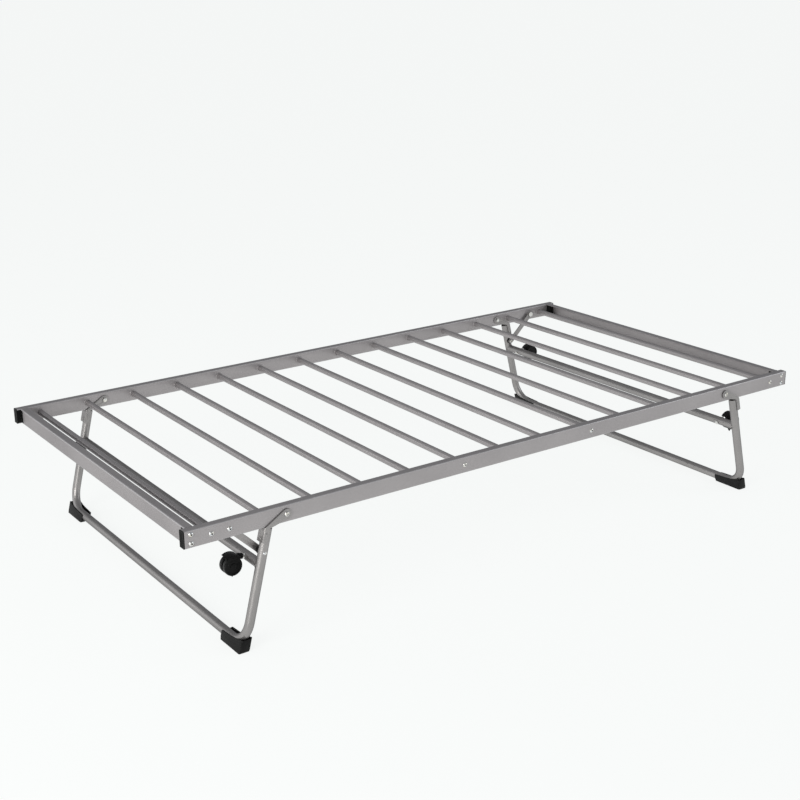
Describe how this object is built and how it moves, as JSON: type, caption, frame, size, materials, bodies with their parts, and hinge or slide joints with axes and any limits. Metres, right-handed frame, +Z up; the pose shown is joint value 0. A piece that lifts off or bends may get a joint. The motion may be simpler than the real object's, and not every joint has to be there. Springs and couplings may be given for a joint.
{
  "type": "trundle bed",
  "caption": "Low metal trundle bed: tube deck with round cross slats on two fold-under U-shaped leg frames each with a stay, shoes and swivel casters.",
  "frame": {"origin": "centre of the bed on the floor plane, under the middle of the deck", "axes": "+X along the bed's length, +Y across it towards the rear side rail, +Z up"},
  "size_m": [1.9, 1.0144, 0.33],
  "materials": {
    "silver_paint": "satin metallic silver-grey paint",
    "zinc_steel": "bright zinc plate",
    "black_plastic": "moulded, fine grain",
    "wheel_black": "satin nylon"
  },
  "bodies": {
    "deck": {"corner_blocks": "black_plastic", "end_rail_bolts": "zinc_steel", "end_rail_left": "silver_paint", "end_rail_right": "silver_paint", "leg_pivot_bolts": "zinc_steel", "rail_end_caps": "black_plastic", "side_rail_front": "silver_paint", "side_rail_rear": "silver_paint", "slat_01": "silver_paint", "slat_02": "silver_paint", "slat_03": "silver_paint", "slat_04": "silver_paint", "slat_05": "silver_paint", "slat_06": "silver_paint", "slat_07": "silver_paint", "slat_08": "silver_paint", "slat_09": "silver_paint", "slat_10": "silver_paint", "slat_11": "silver_paint", "slat_12": "silver_paint", "slat_13": "silver_paint", "slat_14": "silver_paint", "slat_bolts": "zinc_steel", "slat_collars": "silver_paint", "slat_plugs": "zinc_steel", "stay_studs": "zinc_steel"},
    "left_leg_frame": {"bracket_rivets_left": "silver_paint", "caster_stems_left": "zinc_steel", "cross_bar_left": "silver_paint", "leg_bracket_left_front": "silver_paint", "leg_bracket_left_rear": "silver_paint", "leg_tube_left": "silver_paint", "shoe_left_front": "black_plastic", "shoe_left_rear": "black_plastic", "stay_pin_left": "zinc_steel", "stay_spacer_left": "black_plastic"},
    "left_stay": {"stay_left": "silver_paint"},
    "caster_left_front": {"caster_hood_left_front": "black_plastic", "caster_axle_left_front": "black_plastic"},
    "wheels_left_front": {"caster_wheels_left_front": "wheel_black"},
    "caster_left_rear": {"caster_hood_left_rear": "black_plastic", "caster_axle_left_rear": "black_plastic"},
    "wheels_left_rear": {"caster_wheels_left_rear": "wheel_black"},
    "right_leg_frame": {"bracket_rivets_right": "silver_paint", "caster_stems_right": "zinc_steel", "cross_bar_right": "silver_paint", "leg_bracket_right_front": "silver_paint", "leg_bracket_right_rear": "silver_paint", "leg_tube_right": "silver_paint", "shoe_right_front": "black_plastic", "shoe_right_rear": "black_plastic", "stay_pin_right": "zinc_steel", "stay_spacer_right": "black_plastic"},
    "right_stay": {"stay_right": "silver_paint"},
    "caster_right_front": {"caster_hood_right_front": "black_plastic", "caster_axle_right_front": "black_plastic"},
    "wheels_right_front": {"caster_wheels_right_front": "wheel_black"},
    "caster_right_rear": {"caster_hood_right_rear": "black_plastic", "caster_axle_right_rear": "black_plastic"},
    "wheels_right_rear": {"caster_wheels_right_rear": "wheel_black"}
  },
  "joints": [
    {"name": "left_leg_fold", "type": "hinge", "parent": "deck", "child": "left_leg_frame", "pos_m": [-0.7, 0, 0.31], "axis": [0, -1, 0], "range_deg": [0, 104]},
    {"name": "left_stay_turn", "type": "hinge", "parent": "left_leg_frame", "child": "left_stay", "pos_m": [-0.75707, -0.4725, 0.22993], "axis": [0, 1, 0], "range_deg": [0, 60]},
    {"name": "left_front_caster_swivel", "type": "hinge", "parent": "left_leg_frame", "child": "caster_left_front", "pos_m": [-0.7642, -0.434, 0.2013], "axis": [-0.9703, 0, 0.2419], "continuous": true},
    {"name": "left_front_wheel_spin", "type": "hinge", "parent": "caster_left_front", "child": "wheels_left_front", "pos_m": [-0.80785, -0.434, 0.19157], "axis": [0, 1, 0], "continuous": true},
    {"name": "left_rear_caster_swivel", "type": "hinge", "parent": "left_leg_frame", "child": "caster_left_rear", "pos_m": [-0.7642, 0.434, 0.2013], "axis": [-0.9703, 0, 0.2419], "continuous": true},
    {"name": "left_rear_wheel_spin", "type": "hinge", "parent": "caster_left_rear", "child": "wheels_left_rear", "pos_m": [-0.80785, 0.434, 0.19157], "axis": [0, 1, 0], "continuous": true},
    {"name": "right_leg_fold", "type": "hinge", "parent": "deck", "child": "right_leg_frame", "pos_m": [0.7, 0, 0.31], "axis": [0, 1, 0], "range_deg": [0, 104]},
    {"name": "right_stay_turn", "type": "hinge", "parent": "right_leg_frame", "child": "right_stay", "pos_m": [0.75707, 0.4725, 0.22993], "axis": [0, -1, 0], "range_deg": [0, 60]},
    {"name": "right_front_caster_swivel", "type": "hinge", "parent": "right_leg_frame", "child": "caster_right_front", "pos_m": [0.7642, -0.434, 0.2013], "axis": [0.9703, 0, 0.2419], "continuous": true},
    {"name": "right_front_wheel_spin", "type": "hinge", "parent": "caster_right_front", "child": "wheels_right_front", "pos_m": [0.80785, -0.434, 0.19157], "axis": [0, 1, 0], "continuous": true},
    {"name": "right_rear_caster_swivel", "type": "hinge", "parent": "right_leg_frame", "child": "caster_right_rear", "pos_m": [0.7642, 0.434, 0.2013], "axis": [0.9703, 0, 0.2419], "continuous": true},
    {"name": "right_rear_wheel_spin", "type": "hinge", "parent": "caster_right_rear", "child": "wheels_right_rear", "pos_m": [0.80785, 0.434, 0.19157], "axis": [0, 1, 0], "continuous": true}
  ],
  "couplings": [
    {"joint": "left_stay_turn", "follows": "left_leg_fold", "ratio": 0.57692},
    {"joint": "right_stay_turn", "follows": "right_leg_fold", "ratio": 0.57692}
  ]
}
